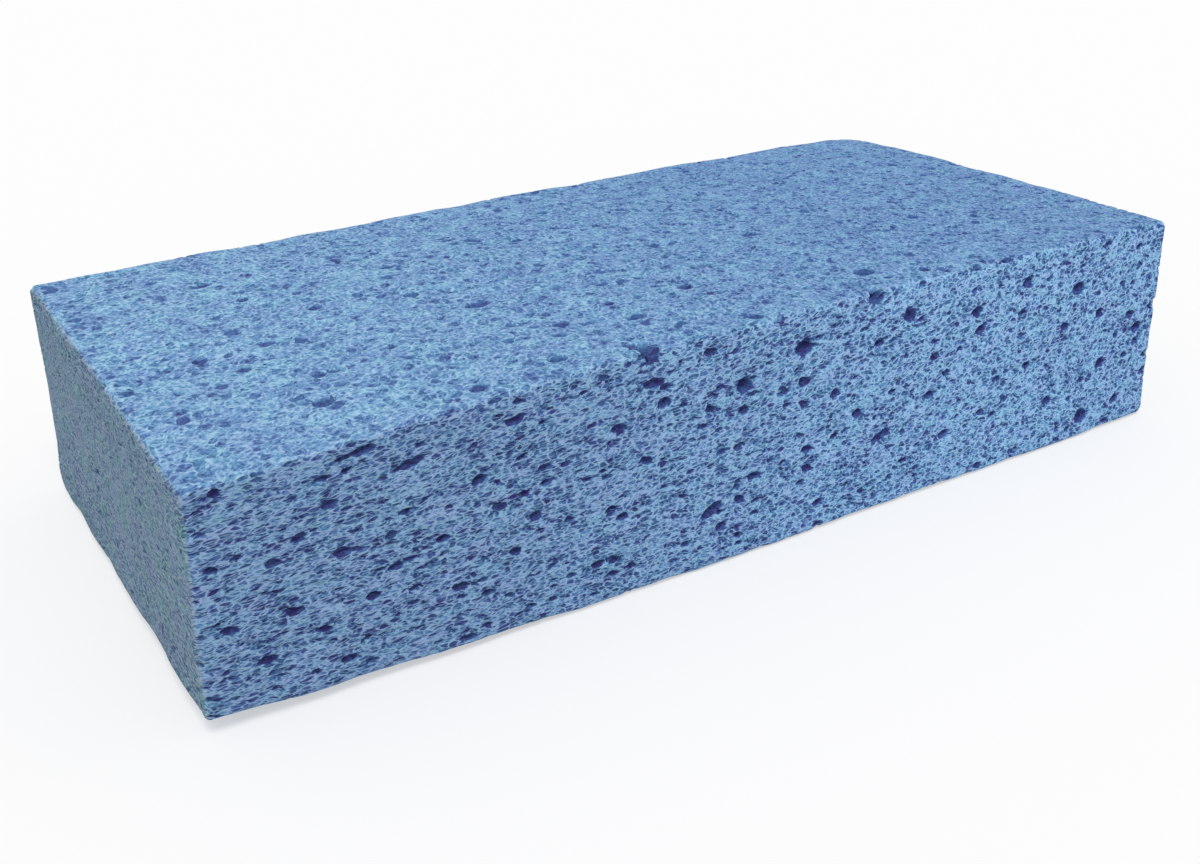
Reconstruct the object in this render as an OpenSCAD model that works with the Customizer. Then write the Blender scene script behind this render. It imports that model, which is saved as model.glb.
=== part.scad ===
/* [Block] */
// Length of the block along its top, left to right
block_length = 200; // [160:1:260]
// Width of the block, front to back, at its ends
block_width = 97; // [75:1:130]
// Height of the block at the ends of its back top edge
block_height = 42; // [34:0.5:60]

/* [Top] */
// Rise of the front top edge at mid length
front_rise = 1.3; // [0:0.1:4]
// Fall of the front top edge at its left end
front_left_fall = 2.2; // [0:0.1:4]
// Rise of the front top edge at its right end
front_right_rise = 0.5; // [0:0.1:3]
// Rise of the back top edge at mid length
back_rise = 0.5; // [0:0.1:3]
// Swell of the top between its two long edges
top_crown = 0.4; // [0:0.1:2]

/* [Sides] */
// How far the front top edge draws in at mid length
front_top_in = 0.7; // [0:0.1:2]
// How far the foot of the front and of the back stands out at mid length
foot_out = 0.9; // [0:0.1:2]
// How far the foot of each end stands out
end_foot_out = 1.6; // [0:0.1:3]

/* [Underside] */
// Lift of the front left toe off the table
toe_lift = 2.6; // [0:0.1:4]
// Length of underside that the toe lift runs along
toe_reach = 90; // [30:1:120]

/* [Corners] */
// Radius of the upright corner at the right end of the front
front_right_corner_r = 1.5; // [0.8:0.1:6]
// Radius of the upright corner at the right end of the back
back_right_corner_r = 9; // [2:0.5:14]
// Radius of the two upright corners at the left end
left_corner_r = 1.5; // [0.8:0.1:6]
// Radius along the back edge of the underside
back_base_r = 5; // [1.5:0.5:10]
// Radius along every other edge
edge_r = 1.2; // [0.6:0.1:3]

/* [Pores] */
// Spacing of the small pores along the front and the back
side_pitch = 8; // [8:0.5:20]
// Spacing of the small pores on the top and the underside
face_pitch = 13; // [12:0.5:30]
// Spacing of the small pores on the two ends
end_pitch = 10; // [9:0.5:20]
// Radius of the smallest pore
pore_r_min = 1; // [0.6:0.1:1.4]
// Radius of the largest of the scattered small pores
pore_r_max = 2.2; // [1.5:0.1:2.6]
// Depth of a pore's centre below the surface, as a share of its radius
pore_sink = 0.3; // [0:0.05:0.5]
// Solid wall left between a small pore and a large one
pore_wall = 0.8; // [0.4:0.1:2]

/* [Hidden] */
// Arc steps of a rounded edge, and of the plan corners
EDGE_STEPS = 2;
CORNER_STEPS = 5;
// Length of one straight station between the ends of the block
STATION = 20;
// Facets of a pore
PORE_FN = 16;
// Longest round pore, and gap between the bubbles of a longer one, as shares of its height
ROUND_PORE = 1.2;
BUBBLE_GAP = 0.6;
// How much smaller a chain's bubbles get towards its ends, and how far they lie off its line, as
// shares of their radius
TAPER = 0.3;
WANDER = 0.12;
// Seed of the scattered pores
SEED = 41;

half_l = block_length / 2;
half_w = block_width / 2;

// Large pores of the front: place along it from the middle, in hundredths of half its length,
// height in hundredths of the block's, then the pore's own length, height and turn
FRONT_PORES = [
    [-95, 92, 2.5, 2.0, 0], [-79, 76, 4.5, 2.0, 10], [-84, 67, 3.5, 1.8, 0], [-97, 64, 3.0, 1.8, 0],
    [-88, 60, 4.0, 1.8, 0], [-73, 93, 5.5, 2.0, 5], [-66, 83, 8.0, 2.0, 15], [-48, 89, 5.0, 1.8, 12],
    [-55, 69, 4.0, 2.2, 5], [-78, 57, 4.5, 1.8, 0], [-70, 58, 3.0, 1.8, 0], [-62, 50, 3.5, 2.0, 0],
    [-52, 56, 3.5, 1.8, 0], [-70, 45, 4.0, 2.0, 10], [-74, 36, 3.5, 2.0, 0], [-60, 29, 3.5, 2.0, 0],
    [-86, 40, 4.0, 1.8, 0], [-96, 40, 3.5, 1.8, 0], [-82, 29, 3.5, 1.8, 0], [-79, 14, 4.0, 1.8, 0],
    [-91, 24, 4.5, 1.8, 0], [-50, 36, 3.0, 2.0, 0], [-23, 88, 6.0, 2.4, 8], [-21, 79, 4.0, 2.6, 0],
    [-30, 74, 4.0, 2.2, 5], [-12, 95, 3.5, 2.2, 0], [-5, 77, 4.5, 3.6, 0], [-5, 67, 3.0, 2.4, 0],
    [-12, 71, 3.0, 2.2, 0], [8, 86, 4.8, 4.6, 0], [8, 71, 3.6, 2.6, 0], [-46, 48, 3.5, 2.0, 0],
    [-25, 57, 3.5, 2.2, 0], [-12, 26, 7.0, 2.8, 18], [-6, 27, 3.0, 2.4, 0], [-10, 18, 3.0, 2.0, 0],
    [-3, 36, 4.0, 2.2, 0], [9, 31, 3.0, 2.2, 0], [9, 40, 3.0, 2.2, 0], [15, 62, 3.2, 2.4, 0],
    [20, 50, 3.2, 2.4, 0], [26, 36, 6.0, 2.4, 20], [24, 100, 5.0, 4.4, 0], [32, 88, 4.2, 3.2, 0],
    [56, 102, 3.6, 2.6, 0], [49, 81, 4.0, 3.0, 0], [62, 88, 3.4, 2.8, 0], [76, 79, 4.4, 3.4, 0],
    [50, 72, 3.4, 2.4, 0], [63, 48, 3.2, 2.6, 0], [83, 63, 3.0, 3.0, 0], [95, 50, 4.0, 3.6, 0],
    [73, 62, 3.2, 2.4, 0], [91, 14, 3.2, 3.0, 0], [81, 11, 5.0, 4.8, 0], [25, 79, 3.2, 2.4, 0],
    [85, 36, 3.6, 3.0, 0], [38, 48, 3.4, 2.4, 0], [42, 26, 3.6, 2.2, 10], [99, 60, 4.4, 3.2, 0],
    [99, 34, 3.0, 2.4, 0], [70, 26, 3.4, 2.4, 0], [-35, 19, 4.0, 1.8, 5], [-30, 36, 3.0, 2.0, 0],
    [99, 25, 2.6, 2.2, 0]
];
// Large pores of the top: places from its middle, in hundredths of half its length and width,
// then the pore's own length, width and turn
TOP_PORES = [
    [-73, -68, 4.8, 3.0, -10], [-73, 60, 6.0, 2.0, 0], [-84, -13, 3.4, 2.4, 0], [-79, -29, 3.4, 2.2, 0],
    [-70, -48, 3.2, 2.2, 0], [-60, 10, 3.6, 2.2, 0], [-69, 35, 3.2, 2.0, 0], [-97, -24, 3.0, 2.4, 0],
    [-36, -23, 6.5, 2.4, 0], [-41, 35, 3.4, 2.2, 0], [-29, -58, 4.4, 2.6, 0], [-23, -95, 5.0, 4.4, 0],
    [-37, -85, 4.2, 2.4, 0], [-52, -89, 4.0, 2.4, 0], [-2, -54, 4.0, 2.6, 0], [-13, 35, 3.4, 2.4, 0],
    [-9, -2, 3.4, 2.4, 0], [-17, -68, 4.4, 2.2, 15], [26, -16, 4.4, 2.6, 0], [7, -4, 3.4, 2.4, 0],
    [29, -79, 5.5, 3.2, 0], [-1, -93, 3.8, 2.6, 0], [55, 41, 4.0, 2.4, 0], [60, -37, 3.8, 2.4, 0]
];
// Large pores of the left end: place across it from the middle, in hundredths of half its width,
// height in hundredths of the block's, then the pore's own length, height and turn
LEFT_PORES = [
    [-50, 91, 3.4, 1.8, 0], [-49, 67, 3.0, 1.8, 0], [16, 48, 3.0, 1.8, 0], [62, 71, 2.8, 1.8, 0]
];

// How far a rounding of radius r draws in at distance d from its end
function drawn_in(d, r) = d >= r ? 0 : r - sqrt(max(0, r * r - (r - d) * (r - d)));

// A height that runs as a parabola through its values at the left, the middle and the right
function bowed(x, left, middle, right) =
    let (u = x / half_l)
    middle + (right - left) / 2 * u + ((left + right) / 2 - middle) * u * u;

// Share of a swell that is left at x, from none at the ends to all at mid length
function swelling(x) = 1 - pow(x / half_l, 2);

function front_top_z(x) =
    bowed(x, block_height - front_left_fall, block_height + front_rise, block_height + front_right_rise);
function back_top_z(x) = bowed(x, block_height, block_height + back_rise, block_height);
function toe_z(x) = toe_lift * pow(max(0, toe_reach - half_l - x) / toe_reach, 2);
function corner_in(x, right_r) = drawn_in(half_l - abs(x), x < 0 ? left_corner_r : right_r);
function front_in(x) = corner_in(x, front_right_corner_r);
function back_in(x) = corner_in(x, back_right_corner_r);
function edge_in(x) = drawn_in(half_l - abs(x), edge_r);
function front_top_y(x) = -half_w + front_top_in * swelling(x) + front_in(x);
function back_top_y(x) = half_w - back_in(x);
function front_foot_y(x) = -half_w - foot_out * swelling(x) + front_in(x);
function back_foot_y(x) = half_w + foot_out * swelling(x) - back_in(x);

// Place along the block of a point at height z, which the feet of the ends carry outwards
function along(x, z) = x * (1 + end_foot_out / half_l * (1 - z / block_height));

// Surface of the front, the back and the top at a given point
function front_y(x, z) = front_foot_y(x) + (front_top_y(x) - front_foot_y(x)) * z / block_height;
function back_y(x, z) = back_foot_y(x) + (back_top_y(x) - back_foot_y(x)) * z / block_height;
function top_z(x, y) =
    let (share = (y + half_w) / block_width)
    front_top_z(x) + (back_top_z(x) - front_top_z(x)) * share + 4 * top_crown * share * (1 - share);

// Points of a rounded corner of the section, from angle a to a + 90
function arc(y, z, r, a) =
    [for (i = [0:EDGE_STEPS]) let (t = a + 90 * i / EDGE_STEPS) [y + r * cos(t), z + r * sin(t)]];

// Outline of the block across its length at x, counter-clockwise seen from the right
function section(x) =
    let (lift = edge_in(x))
    concat(
        arc(front_foot_y(x) + edge_r, toe_z(x) + lift + edge_r, edge_r, 180),
        [for (s = [0.3, 0.6]) [-half_w + s * block_width, lift + (1 - s) * toe_z(x)]],
        arc(back_foot_y(x) - back_base_r, lift + back_base_r, back_base_r, 270),
        [[back_y(x, block_height / 2), block_height / 2]],
        arc(back_top_y(x) - edge_r, back_top_z(x) - lift - edge_r, edge_r, 0),
        [for (s = [0.75, 0.5, 0.25]) let (y = -half_w + s * block_width) [y, top_z(x, y) - lift]],
        arc(front_top_y(x) + edge_r, front_top_z(x) - lift - edge_r, edge_r, 90),
        [[front_y(x, block_height / 2), block_height / 2]]
    );

// Places of the sections along the block, closer together round its ends
right_r = max(front_right_corner_r, back_right_corner_r);
span = block_length - left_corner_r - right_r;
spans = ceil(span / STATION);
STATIONS = concat(
    [for (i = [0:CORNER_STEPS]) -half_l + left_corner_r * (1 - cos(90 * i / CORNER_STEPS))],
    [for (i = [1:spans - 1]) -half_l + left_corner_r + span * i / spans],
    [for (i = [CORNER_STEPS:-1:0]) half_l - right_r * (1 - cos(90 * i / CORNER_STEPS))]
);

module block() {
    rows = len(STATIONS);
    cols = len(section(0));
    skin = [for (x = STATIONS, p = section(x)) [along(x, p[1]), p[0], p[1]]];
    middles = [for (x = [-half_l, half_l]) [along(x, block_height / 2), 0, block_height / 2]];
    walls = [
        for (i = [0:rows - 2], j = [0:cols - 1])
            let (k = (j + 1) % cols, a = i * cols + j, b = i * cols + k, c = a + cols, d = b + cols)
            each [[a, b, c], [b, d, c]]
    ];
    left_end = [for (j = [0:cols - 1]) [(j + 1) % cols, j, rows * cols]];
    last = (rows - 1) * cols;
    right_end = [for (j = [0:cols - 1]) [last + j, last + (j + 1) % cols, rows * cols + 1]];
    polyhedron(concat(skin, middles), concat(left_end, walls, right_end));
}

// One pore: a chain of bubbles that run well into each other, sunk under the face it opens in. The
// bubbles get smaller towards its ends and lie a little above and below its line in turn
module pore(length, height, turn = 0) {
    r = height / 2;
    bubbles = length > ROUND_PORE * height ? ceil((length - height) / (BUBBLE_GAP * height)) + 1 : 1;
    gap = bubbles > 1 ? (length - height) / (bubbles - 1) : 0;
    rotate([0, 0, turn])
    for (i = [0:bubbles - 1]) {
        place = i - (bubbles - 1) / 2;
        size = r * (1 - TAPER * pow(2 * place / bubbles, 2));
        wander = bubbles > 1 ? (i % 2 == 0 ? WANDER : -WANDER) * r : 0;
        translate([place * gap, wander, -pore_sink * r]) sphere(r = size, $fn = PORE_FN);
    }
}

// Places of small pores over a face of size a by b: one to each cell of a grid, moved at random within
// it, of random size, and left out where a large pore already is
function scattered(a, b, pitch, seed, large) =
    let (n = floor(a / pitch), m = max(1, floor(b / pitch)), q = rands(0, 1, 3 * n * m, seed))
    [
        for (i = [0:n - 1], j = [0:m - 1])
            let (
                k = 3 * (i * m + j),
                u = (i + 0.25 + 0.5 * q[k]) * a / n - a / 2,
                v = (j + 0.25 + 0.5 * q[k + 1]) * b / m - b / 2,
                r = pore_r_min + (pore_r_max - pore_r_min) * pow(q[k + 2], 2)
            )
            if (clear_of(u, v, r + pore_wall, large)) [u, v, r]
    ];

// Whether a pore of radius r at u, v lies clear of every pore of a list
function clear_of(u, v, r, large) =
    len([for (p = large) if (abs(u - p[0]) < p[2] / 2 + r && abs(v - p[1]) < p[3] / 2 + r) 1]) == 0;

// A list of large pores with its places worked out in millimetres from the middle of a face of size a by b
function placed(large, a, b) = [for (p = large) [p[0] * a / 200, p[1] * b / 200, p[2], p[3], p[4]]];
function raised(large) = [for (p = large) [p[0], 2 * p[1] - 100, p[2], p[3], p[4]]];

FRONT = placed(raised(FRONT_PORES), block_length, block_height);
TOP = placed(TOP_PORES, block_length, block_width);
LEFT = placed(raised(LEFT_PORES), block_width, block_height);

// Stand at a point of a face, with Z out of it: u runs along the face and v up or across it
module on_front(u, v) {
    translate([u, front_y(u, v + block_height / 2), v + block_height / 2]) rotate([90, 0, 0]) children();
}
module on_back(u, v) {
    translate([u, back_y(u, v + block_height / 2), v + block_height / 2]) rotate([90, 0, 180]) children();
}
module on_top(u, v) {
    translate([u, v, top_z(u, v)]) children();
}
module on_underside(u, v) {
    translate([u, v, 0]) rotate([180, 0, 0]) children();
}
module on_left(u, v) {
    z = v + block_height / 2;
    translate([along(-half_l, z), u, z]) rotate([90, 0, -90]) children();
}
module on_right(u, v) {
    z = v + block_height / 2;
    translate([along(half_l, z), u, z]) rotate([90, 0, 90]) children();
}

module front_large_pores() {
    for (p = FRONT) on_front(p[0], p[1]) pore(p[2], p[3], p[4]);
}
module top_large_pores() {
    for (p = TOP) on_top(p[0], p[1]) pore(p[2], p[3], p[4]);
}
module left_large_pores() {
    for (p = LEFT) on_left(p[0], p[1]) pore(p[2], p[3], p[4]);
}
module front_small_pores() {
    for (p = scattered(block_length, block_height, side_pitch, SEED, FRONT))
        on_front(p[0], p[1]) bubble(p[2]);
}
module back_pores() {
    for (p = scattered(block_length, block_height, side_pitch, SEED + 1, []))
        on_back(p[0], p[1]) bubble(p[2]);
}
module top_small_pores() {
    for (p = scattered(block_length, block_width, face_pitch, SEED + 2, TOP))
        on_top(p[0], p[1]) bubble(p[2]);
}
module underside_pores() {
    for (p = scattered(block_length, block_width, face_pitch, SEED + 3, []))
        on_underside(p[0], p[1]) bubble(p[2]);
}
module left_small_pores() {
    for (p = scattered(block_width, block_height, end_pitch, SEED + 4, LEFT))
        on_left(p[0], p[1]) bubble(p[2]);
}
module right_pores() {
    for (p = scattered(block_width, block_height, end_pitch, SEED + 5, []))
        on_right(p[0], p[1]) bubble(p[2]);
}

// A small pore of one bubble
module bubble(r) {
    translate([0, 0, -pore_sink * r]) sphere(r = r, $fn = PORE_FN);
}

// The sponge: one block of open foam, with the pores that its cut faces lay open
module sponge() {
    color([0.33, 0.52, 0.74])
    difference() {
        block();
        front_large_pores();
        front_small_pores();
        back_pores();
        top_large_pores();
        top_small_pores();
        underside_pores();
        left_large_pores();
        left_small_pores();
        right_pores();
    }
}

sponge();
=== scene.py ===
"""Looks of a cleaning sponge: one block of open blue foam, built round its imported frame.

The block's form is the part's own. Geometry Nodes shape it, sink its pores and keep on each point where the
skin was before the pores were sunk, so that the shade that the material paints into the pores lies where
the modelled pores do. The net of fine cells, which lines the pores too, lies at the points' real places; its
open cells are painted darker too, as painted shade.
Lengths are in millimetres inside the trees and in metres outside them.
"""

import logging
import math
from dataclasses import dataclass
from enum import Enum
from typing import Any

import bpy
from mathutils import Matrix, Vector


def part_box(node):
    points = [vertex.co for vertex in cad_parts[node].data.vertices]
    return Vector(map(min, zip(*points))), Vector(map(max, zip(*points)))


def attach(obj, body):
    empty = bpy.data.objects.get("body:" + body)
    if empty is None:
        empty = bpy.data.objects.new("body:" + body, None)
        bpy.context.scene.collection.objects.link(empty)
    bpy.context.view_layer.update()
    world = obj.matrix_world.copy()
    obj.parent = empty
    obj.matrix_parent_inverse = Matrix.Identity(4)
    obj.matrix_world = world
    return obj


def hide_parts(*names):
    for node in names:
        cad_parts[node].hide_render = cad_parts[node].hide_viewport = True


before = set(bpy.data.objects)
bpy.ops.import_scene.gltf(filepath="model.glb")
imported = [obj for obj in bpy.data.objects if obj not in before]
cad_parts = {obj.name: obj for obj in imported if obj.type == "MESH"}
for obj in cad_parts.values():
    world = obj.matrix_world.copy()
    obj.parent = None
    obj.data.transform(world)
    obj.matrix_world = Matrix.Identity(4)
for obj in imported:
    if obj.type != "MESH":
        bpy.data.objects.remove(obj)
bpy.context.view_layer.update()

log = logging.getLogger("sponge")

MM = 0.001
PHOTO_WIDTH = 1200
POINT_COUNTS = ("Points along", "Points across", "Points up")
WHITE = (1.0, 1.0, 1.0)
# The band that most of a plain noise's values lie in, and of one with more detail
NOISE_BAND = (0.3, 0.7)
FINE_NOISE_BAND = (0.35, 0.65)
# The middle of a noise's three values
NOISE_MIDDLE = (0.5, 0.5, 0.5)
# Which way a layer of pores and a net are shifted, so that no two start at the same place
PORE_SHIFT = (1.0, 1.7, 0.6)
NET_SHIFT = (1.0, 0.7, 1.6)
# Least divisor, in millimetres
TINY = 1e-5


class Field:
    """A number in a node tree, which plain arithmetic extends with Math nodes."""

    def __init__(self, sheet: "Sheet", socket: bpy.types.NodeSocket) -> None:
        """Keeps the socket that gives the number.

        Args:
            sheet: The tree that the socket is in.
            socket: The output that gives the number.
        """
        self.sheet = sheet
        self.socket = socket

    def __add__(self, other: Any) -> "Field":
        """Sum of this number and another."""
        return self.sheet.math("ADD", self, other)

    def __radd__(self, other: Any) -> "Field":
        """Sum of a constant and this number."""
        return self.sheet.math("ADD", other, self)

    def __sub__(self, other: Any) -> "Field":
        """This number less another."""
        return self.sheet.math("SUBTRACT", self, other)

    def __rsub__(self, other: Any) -> "Field":
        """A constant less this number."""
        return self.sheet.math("SUBTRACT", other, self)

    def __mul__(self, other: Any) -> "Field":
        """Product of this number and another."""
        return self.sheet.math("MULTIPLY", self, other)

    def __rmul__(self, other: Any) -> "Field":
        """Product of a constant and this number."""
        return self.sheet.math("MULTIPLY", other, self)

    def __truediv__(self, other: Any) -> "Field":
        """This number over another."""
        return self.sheet.math("DIVIDE", self, other)

    def power(self, exponent: float) -> "Field":
        """This number raised to an exponent."""
        return self.sheet.math("POWER", self, exponent)

    def size(self) -> "Field":
        """This number without its sign."""
        return self.sheet.math("ABSOLUTE", self)

    def sign(self) -> "Field":
        """The sign of this number."""
        return self.sheet.math("SIGN", self)

    def root(self) -> "Field":
        """The square root of this number."""
        return self.sheet.math("SQRT", self)

    def at_least(self, other: Any) -> "Field":
        """The larger of this number and another."""
        return self.sheet.math("MAXIMUM", self, other)

    def at_most(self, other: Any) -> "Field":
        """The smaller of this number and another."""
        return self.sheet.math("MINIMUM", self, other)

    def rise(self, low: Any, high: Any, start: Any = 0.0, end: Any = 1.0) -> "Field":
        """A smooth step.

        Args:
            low: Where the step starts.
            high: Where it ends.
            start: Its value up to low.
            end: Its value from high on.

        Returns:
            The step's value at this number.
        """
        inputs = {"Value": self, "From Min": low, "From Max": high, "To Min": start, "To Max": end}
        node = self.sheet.add("ShaderNodeMapRange", inputs, interpolation_type="SMOOTHSTEP")
        return Field(self.sheet, node.outputs[0])


class Sheet:
    """One node tree, with short calls for the nodes that this file uses."""

    def __init__(self, tree: bpy.types.NodeTree) -> None:
        """Keeps the tree that the nodes go into."""
        self.tree = tree

    def add(self, kind: str, inputs: dict[Any, Any] | None = None, **settings: Any) -> bpy.types.Node:
        """Adds a node.

        Args:
            kind: Blender's name of the node's type.
            inputs: What to feed its inputs, by their names or numbers.
            settings: Values for the node's own properties.

        Returns:
            The new node.
        """
        node = self.tree.nodes.new(kind)
        for name, value in settings.items():
            setattr(node, name, value)
        for name, value in (inputs or {}).items():
            self.feed(node.inputs[name], value)
        return node

    def feed(self, socket: bpy.types.NodeSocket, value: Any) -> None:
        """Links a field or an output to an input, or writes a constant there.

        Args:
            socket: The input.
            value: A field, an output socket or a constant.
        """
        source = value.socket if isinstance(value, Field) else value
        if isinstance(source, bpy.types.NodeSocket):
            self.tree.links.new(source, socket)
        else:
            socket.default_value = source

    def math(self, operation: str, *values: Any) -> Field:
        """The result of a Math node on numbers or fields."""
        node = self.add("ShaderNodeMath", dict(enumerate(values)), operation=operation)
        return Field(self, node.outputs[0])

    def vector(self, x: Any, y: Any, z: Any) -> bpy.types.NodeSocket:
        """A vector of three numbers or fields."""
        return self.add("ShaderNodeCombineXYZ", {0: x, 1: y, 2: z}).outputs[0]

    def parts(self, vector: Any) -> tuple[Field, Field, Field]:
        """The three numbers of a vector."""
        node = self.add("ShaderNodeSeparateXYZ", {0: vector})
        return tuple(Field(self, output) for output in node.outputs)

    def vectors(self, operation: str, a: Any, b: Any) -> bpy.types.NodeSocket:
        """The vector that a Vector Math node makes of two vectors."""
        return self.add("ShaderNodeVectorMath", {0: a, 1: b}, operation=operation).outputs["Vector"]

    def scaled(self, vector: Any, factor: Any) -> bpy.types.NodeSocket:
        """A vector times a number."""
        node = self.add("ShaderNodeVectorMath", {0: vector, "Scale": factor}, operation="SCALE")
        return node.outputs["Vector"]

    def dot(self, a: Any, b: Any) -> Field:
        """The dot product of two vectors."""
        node = self.add("ShaderNodeVectorMath", {0: a, 1: b}, operation="DOT_PRODUCT")
        return Field(self, node.outputs["Value"])

    def noise(self, place: Any, scale: float, detail: float = 2.0) -> bpy.types.Node:
        """A noise texture at a place, with a number of finer layers."""
        return self.add("ShaderNodeTexNoise", {"Vector": place, "Scale": scale, "Detail": detail})

    def level(self, place: Any, scale: float, detail: float = 2.0) -> Field:
        """The value of a noise texture at a place."""
        return Field(self, self.noise(place, scale, detail).outputs[0])

    def cells(self, place: Any, feature: str = "F1") -> bpy.types.Node:
        """A cell texture of cells one unit apart, at a place."""
        return self.add("ShaderNodeTexVoronoi", {"Vector": place, "Scale": 1.0}, feature=feature)

    def edge(self, outward: Any, low: float, high: float) -> Field:
        """How far a direction points between the axes: fully up to a largest part of low, none from high."""
        x, y, z = (part.size() for part in self.parts(outward))
        return x.at_least(y).at_least(z).rise(low, high, 1.0, 0.0)

    def mixed(self, share: Any, a: Any, b: Any) -> bpy.types.NodeSocket:
        """A colour that lies by a share between two colours, each an output or three numbers."""
        ends = ((*colour, 1.0) if isinstance(colour, tuple) else colour for colour in (a, b))
        return self.add("ShaderNodeMix", {0: share, **dict(zip((6, 7), ends))}, data_type="RGBA").outputs[2]

    def tinted(self, colour: Any, tint: Any) -> bpy.types.NodeSocket:
        """A colour times a tint."""
        inputs = {0: 1.0, 6: colour, 7: tint}
        return self.add("ShaderNodeMix", inputs, data_type="RGBA", blend_type="MULTIPLY").outputs[2]


class Points(Sheet):
    """A tree of Geometry Nodes, with short calls for what it does to points."""

    def here(self) -> bpy.types.NodeSocket:
        """The place of the point that is worked on."""
        return self.add("GeometryNodeInputPosition").outputs[0]

    def keep(self, geometry: Any, name: str, kind: str, value: Any) -> bpy.types.NodeSocket:
        """The geometry with a value stored on each point under a name."""
        inputs = {"Geometry": geometry, "Name": name, "Value": value}
        return self.add("GeometryNodeStoreNamedAttribute", inputs, data_type=kind, domain="POINT").outputs[0]

    def kept(self, name: str, kind: str) -> bpy.types.NodeSocket:
        """The value stored under a name."""
        node = self.add("GeometryNodeInputNamedAttribute", {"Name": name}, data_type=kind)
        return node.outputs["Attribute"]

    def moved_in(self, geometry: Any, depth: Field) -> bpy.types.NodeSocket:
        """The geometry with each point moved inwards by a depth."""
        push = self.scaled(self.add("GeometryNodeInputNormal").outputs[0], depth * -1.0)
        return self.add("GeometryNodeSetPosition", {"Geometry": geometry, "Offset": push}).outputs[0]


class Side(Enum):
    """A side of the block, with the directions along it, up or across it, and out of it."""

    FRONT = ((1, 0, 0), (0, 0, 1), (0, -1, 0))
    TOP = ((1, 0, 0), (0, 1, 0), (0, 0, 1))
    LEFT = ((0, 1, 0), (0, 0, 1), (-1, 0, 0))


@dataclass(frozen=True)
class LargePore:
    """A pore that stands out by itself, where the part's source has it.

    Its place is in hundredths of half its side's length from the middle, and in hundredths of the side's
    height from its foot, or of half its width from the middle on the top. Its own sizes are millimetres.
    """

    side: Side
    along: float
    up: float
    length: float
    height: float
    turn: float = 0.0


@dataclass(frozen=True)
class PoreLayer:
    """One size of pore, scattered all through the foam.

    Its spacing is in the foam's grain, its radii are in spacings, and its depth is in millimetres.
    """

    spacing: float
    narrowest: float
    widest: float
    depth: float
    shift: float
    rim: float = 0.5
    rarity: float = 2.0
    # Radius below which a pore isn't seen, and from which it is seen fully, in cells
    faint: float = 0.1
    plain: float = 0.3
    # Where a seen pore's edge starts and ends, in its own radii
    edge_from: float = 0.72
    edge_to: float = 0.98

    def nearest(self, sheet: Sheet, place: Any, spread: Any) -> tuple[Field, Field, Field]:
        """The pore nearest to a place.

        Args:
            sheet: The tree to build in.
            place: The place in the foam's grain.
            spread: Factor on the width of every pore.

        Returns:
            How far its middle is and how far below, both in its own radii, and its radius in cells.
        """
        shift = tuple(self.shift * share for share in PORE_SHIFT)
        moved = sheet.vectors("ADD", sheet.scaled(place, 1 / self.spacing), shift)
        cells = sheet.cells(moved)
        chance = sheet.parts(cells.outputs["Color"])[0]
        radius = (chance.power(self.rarity) * (self.widest - self.narrowest) + self.narrowest) * spread
        reach = Field(sheet, cells.outputs["Distance"]) / radius
        above = sheet.parts(sheet.vectors("SUBTRACT", moved, cells.outputs["Position"]))[2] / radius
        return reach, above, radius

    def sunk(self, sheet: Sheet, place: Any, lean: Any = 0.0, spread: Any = 1.0) -> Field:
        """Depth of the layer's pores below the skin.

        Args:
            sheet: The tree to build in.
            place: The place in the foam's grain.
            lean: How much deeper a pore is under its upper rim than over its lower one.
            spread: Factor on the width of every pore.

        Returns:
            The depth in millimetres.
        """
        reach, above, radius = self.nearest(sheet, place, spread)
        tilt = above.at_least(-1.0).at_most(1.0) * lean + 1.0
        return reach.rise(self.rim, 1.0, 1.0, 0.0) * tilt * radius * (self.depth / self.widest)

    def seen(self, sheet: Sheet, place: Any, spread: Any = 1.0) -> Field:
        """How much a place lies in one of the layer's pores.

        Args:
            sheet: The tree to build in.
            place: The place in the foam's grain.
            spread: Factor on the width of every pore.

        Returns:
            The share from 0 to 1, which is larger the wider the pore is.
        """
        reach, _, radius = self.nearest(sheet, place, spread)
        return reach.rise(self.edge_from, self.edge_to, 1.0, 0.0) * radius.rise(self.faint, self.plain)


@dataclass(frozen=True)
class CellNet:
    """A net of thin ridges round cells that fill the foam. Lengths are in the foam's grain."""

    spacing: float
    shift: float
    # Half the width of a ridge with its slope, in cells, and how open the most closed cell is
    ridge: float
    closed: float
    # Half the width of a ridge's flat top, in cells
    crest: float = 0.01

    def opened(self, sheet: Sheet, place: Any) -> Field:
        """How open the foam is, from 0 on a ridge up to 1 in the middle of a wide open cell.

        Args:
            sheet: The tree to build in.
            place: The place in the foam's grain.

        Returns:
            The openness.
        """
        shift = tuple(self.shift * share for share in NET_SHIFT)
        moved = sheet.vectors("ADD", sheet.scaled(place, 1 / self.spacing), shift)
        edge = Field(sheet, sheet.cells(moved, "DISTANCE_TO_EDGE").outputs["Distance"])
        chance = sheet.parts(sheet.cells(moved).outputs["Color"])[0]
        return edge.rise(self.crest, self.ridge) * (chance * (1.0 - self.closed) + self.closed)


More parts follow.
